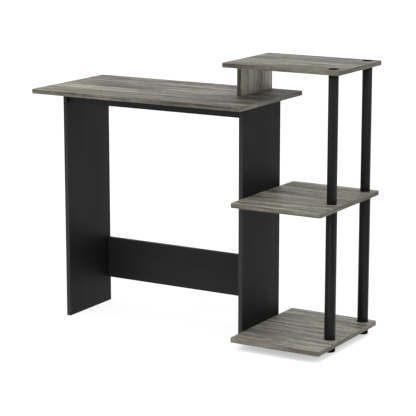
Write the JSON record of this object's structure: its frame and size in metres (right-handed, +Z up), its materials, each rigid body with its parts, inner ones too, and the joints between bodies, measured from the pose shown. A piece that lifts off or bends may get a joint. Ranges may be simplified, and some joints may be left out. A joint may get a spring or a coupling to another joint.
{
  "type": "computer desk with side shelves",
  "caption": "Compact desk with slab legs, front rail, low back stretcher and a side tower of square shelves on round tube posts; a small raised shelf overlaps the desktop.",
  "frame": {"origin": "on the floor, midway between the desk's left and right ends and midway between its front and back", "axes": "+X to the sitter's right, from desktop to shelves; +Y to the back; +Z up"},
  "size_m": [1.006, 0.396, 0.8456],
  "materials": {
    "oak_laminate": "matt melamine-faced particle board, grey oak print with long streaks",
    "oak_edge_band": "matt edge banding, grey oak print",
    "black_laminate": "matt black melamine-faced particle board",
    "black_edge_band": "matt black edge banding",
    "black_tube": "satin extruded plastic tube",
    "black_plastic": "satin moulded plastic",
    "zinc_plated_steel": "bright zinc plating",
    "zinc_casting": "as die-cast zinc alloy",
    "beech": "turned beech, unfinished"
  },
  "bodies": {
    "root": {"desktop_board": "oak_laminate", "top_shelf_board": "oak_laminate", "middle_shelf_board": "oak_laminate", "bottom_shelf_board": "oak_laminate", "riser_board": "oak_laminate", "desktop_edge_band": "oak_edge_band", "top_shelf_edge_band": "oak_edge_band", "middle_shelf_edge_band": "oak_edge_band", "bottom_shelf_edge_band": "oak_edge_band", "riser_edge_bands": "oak_edge_band", "left_leg_board": "black_laminate", "right_leg_board": "black_laminate", "front_rail_board": "black_laminate", "back_stretcher_board": "black_laminate", "left_leg_edge_bands": "black_edge_band", "right_leg_edge_bands": "black_edge_band", "front_rail_edge_band": "black_edge_band", "back_stretcher_edge_bands": "black_edge_band", "front_lower_tube": "black_tube", "front_lower_tube_plugs": "black_plastic", "front_upper_tube": "black_tube", "front_upper_tube_plugs": "black_plastic", "front_foot": "black_plastic", "front_middle_stud": "black_plastic", "front_top_cap": "black_plastic", "rear_lower_tube": "black_tube", "rear_lower_tube_plugs": "black_plastic", "rear_upper_tube": "black_tube", "rear_upper_tube_plugs": "black_plastic", "rear_foot": "black_plastic", "rear_middle_stud": "black_plastic", "rear_top_cap": "black_plastic", "desktop_cam_bolts": "zinc_plated_steel", "rail_cam_bolts": "zinc_plated_steel", "stretcher_cam_bolts": "zinc_plated_steel", "riser_cam_bolts": "zinc_plated_steel", "riser_screws": "zinc_plated_steel", "middle_shelf_screws": "zinc_plated_steel", "bottom_shelf_screws": "zinc_plated_steel", "leg_cam_locks": "zinc_casting", "rail_cam_locks": "zinc_casting", "stretcher_cam_locks": "zinc_casting", "riser_cam_locks": "zinc_casting", "desktop_dowels": "beech", "rail_dowels": "beech", "stretcher_dowels": "beech", "riser_dowels": "beech", "riser_screw_covers": "black_plastic", "middle_shelf_screw_covers": "black_plastic", "bottom_shelf_screw_covers": "black_plastic"}
  },
  "joints": []
}
